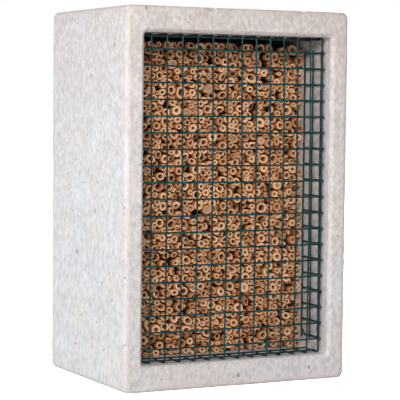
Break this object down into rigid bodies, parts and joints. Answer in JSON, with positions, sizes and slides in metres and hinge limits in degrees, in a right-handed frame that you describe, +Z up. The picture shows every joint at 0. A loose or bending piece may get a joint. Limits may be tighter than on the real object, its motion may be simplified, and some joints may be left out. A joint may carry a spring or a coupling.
{
  "type": "insect hotel",
  "caption": "Cast concrete insect hotel: an open-fronted box packed with hollow reed stems behind a pushed-in tray of coated wire mesh.",
  "frame": {"origin": "centre of the base", "axes": "+Z up, open front facing -Y, +X to the right of someone facing the back wall from the front"},
  "size_m": [0.194, 0.145, 0.292],
  "materials": {
    "concrete": "matte",
    "coated_wire": "satin",
    "reed": "matte"
  },
  "bodies": {
    "hotel": {"housing": "concrete", "wide_canes": "reed", "reed_layer_01": "reed", "reed_layer_02": "reed", "reed_layer_03": "reed", "reed_layer_04": "reed", "reed_layer_05": "reed", "reed_layer_06": "reed", "reed_layer_07": "reed", "reed_layer_08": "reed", "reed_layer_09": "reed", "reed_layer_10": "reed", "reed_layer_11": "reed", "reed_layer_12": "reed", "reed_layer_13": "reed", "reed_layer_14": "reed", "reed_layer_15": "reed", "reed_layer_16": "reed", "reed_layer_17": "reed", "reed_layer_18": "reed", "reed_layer_19": "reed", "reed_layer_20": "reed", "reed_layer_21": "reed", "reed_layer_22": "reed", "reed_layer_23": "reed", "reed_layer_24": "reed", "reed_layer_25": "reed", "reed_layer_26": "reed", "reed_layer_27": "reed", "reed_layer_28": "reed", "reed_layer_29": "reed", "reed_layer_30": "reed", "reed_layer_31": "reed", "reed_layer_32": "reed", "reed_layer_33": "reed", "reed_layer_34": "reed", "reed_layer_35": "reed", "reed_layer_36": "reed", "reed_layer_37": "reed", "reed_layer_38": "reed", "reed_layer_39": "reed", "reed_layer_40": "reed"},
    "guard": {"guard_rungs": "coated_wire", "guard_uprights": "coated_wire", "guard_right_uprights": "coated_wire", "guard_left_uprights": "coated_wire", "guard_top_rungs": "coated_wire", "guard_bottom_rungs": "coated_wire"}
  },
  "joints": [
    {"name": "guard_slide", "type": "slide", "parent": "hotel", "child": "guard", "axis": [0, -1, 0], "range_m": [0, 0.06]}
  ]
}
